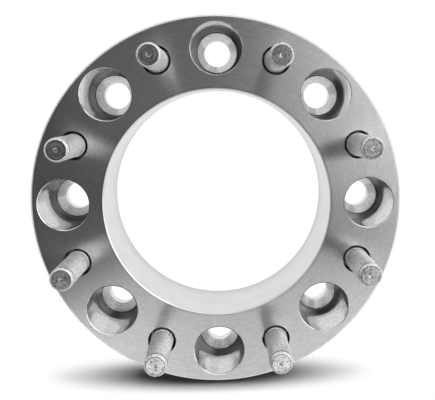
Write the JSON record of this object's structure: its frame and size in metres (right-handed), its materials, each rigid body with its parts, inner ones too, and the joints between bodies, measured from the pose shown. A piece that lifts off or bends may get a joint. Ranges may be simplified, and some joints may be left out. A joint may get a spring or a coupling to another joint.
{
  "type": "wheel spacer",
  "caption": "Thick turned aluminium wheel spacer: a ring with a wide bore, deep conical-seat lug pockets and pressed-in threaded wheel studs between them.",
  "frame": {"origin": "centre of the hub-side face, on the bore's axis", "axes": "+Z along the bore's axis towards the wheel, where the studs stand out; +Y towards the lug hole at the top of the picture; +X to the picture's right"},
  "size_m": [0.2056, 0.2056, 0.0908],
  "materials": {
    "billet_aluminium": "fine turned",
    "stud_steel": "bright plated"
  },
  "bodies": {
    "root": {"spacer_ring": "billet_aluminium", "wheel_stud_1": "stud_steel", "wheel_stud_2": "stud_steel", "wheel_stud_3": "stud_steel", "wheel_stud_4": "stud_steel", "wheel_stud_5": "stud_steel", "wheel_stud_6": "stud_steel", "wheel_stud_7": "stud_steel", "wheel_stud_8": "stud_steel"}
  },
  "joints": []
}
